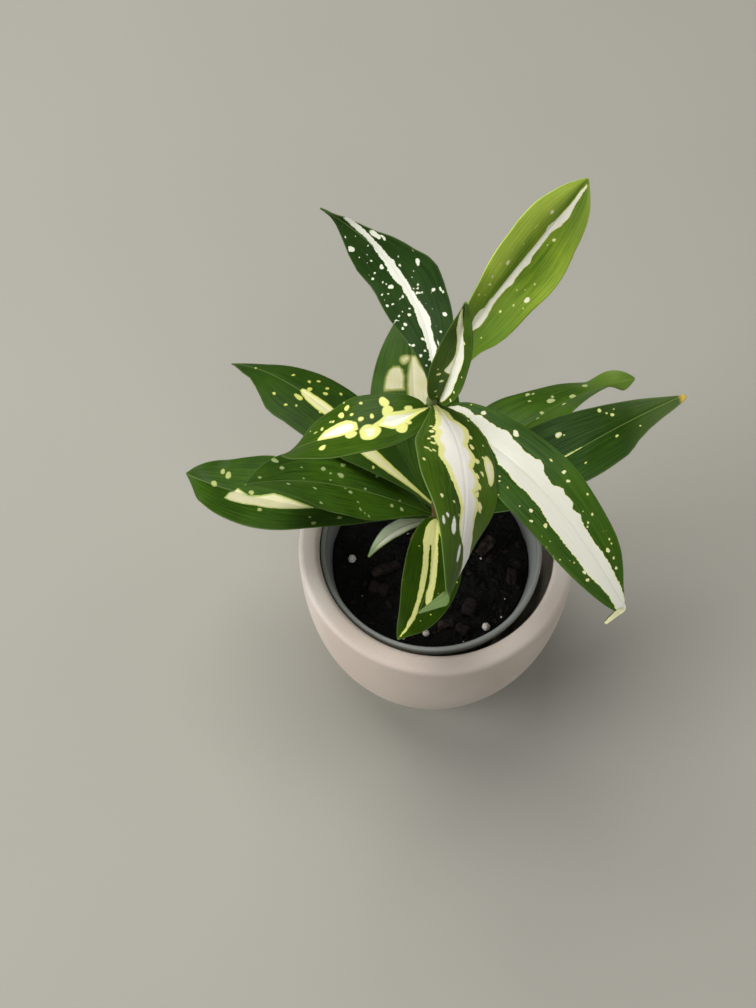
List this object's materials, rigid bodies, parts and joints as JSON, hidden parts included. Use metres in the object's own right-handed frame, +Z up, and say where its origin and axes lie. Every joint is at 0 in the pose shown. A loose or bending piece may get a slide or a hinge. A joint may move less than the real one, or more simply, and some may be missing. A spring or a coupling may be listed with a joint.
{
  "type": "potted dracaena",
  "caption": "Young spotted dracaena with two tiers of banded leaves on one upright cane, in soil in a plastic growing pot that stands in a round pale stoneware cover pot.",
  "frame": {"origin": "centre of the cover pot's flat bottom, on the surface that the pot stands on", "axes": "+Z up the plant; -Y towards the viewer of the picture, +X to that viewer's right"},
  "size_m": [0.2003, 0.1727, 0.2743],
  "materials": {
    "pale_stoneware": "matte",
    "dark_plastic": "satin",
    "dark_soil": "matte",
    "cane_bark": "matte",
    "leaf_deep_green": "satin",
    "leaf_light_green": "satin",
    "leaf_pale_green": "satin",
    "bark": "matte",
    "perlite": "matte"
  },
  "bodies": {
    "root": {"cover_pot": "pale_stoneware", "nursery_pot": "dark_plastic", "potting_soil": "dark_soil", "cane": "cane_bark", "leaf_top_back_left": "leaf_deep_green", "leaf_top_back_right": "leaf_light_green", "leaf_top_young": "leaf_deep_green", "leaf_top_left": "leaf_deep_green", "leaf_top_front": "leaf_deep_green", "leaf_top_front_right": "leaf_deep_green", "leaf_low_back_left": "leaf_deep_green", "leaf_low_far_left": "leaf_deep_green", "leaf_low_left": "leaf_deep_green", "leaf_low_front": "leaf_deep_green", "leaf_low_pale_young": "leaf_pale_green", "leaf_low_right": "leaf_deep_green", "leaf_low_back_right": "leaf_deep_green", "leaf_low_back": "leaf_deep_green", "bark_chip_1": "bark", "bark_chip_2": "bark", "bark_chip_3": "bark", "bark_chip_4": "bark", "bark_chip_5": "bark", "bark_chip_6": "bark", "bark_chip_7": "bark", "bark_chip_8": "bark", "perlite_1": "perlite", "perlite_2": "perlite", "perlite_3": "perlite", "perlite_4": "perlite"}
  },
  "joints": []
}
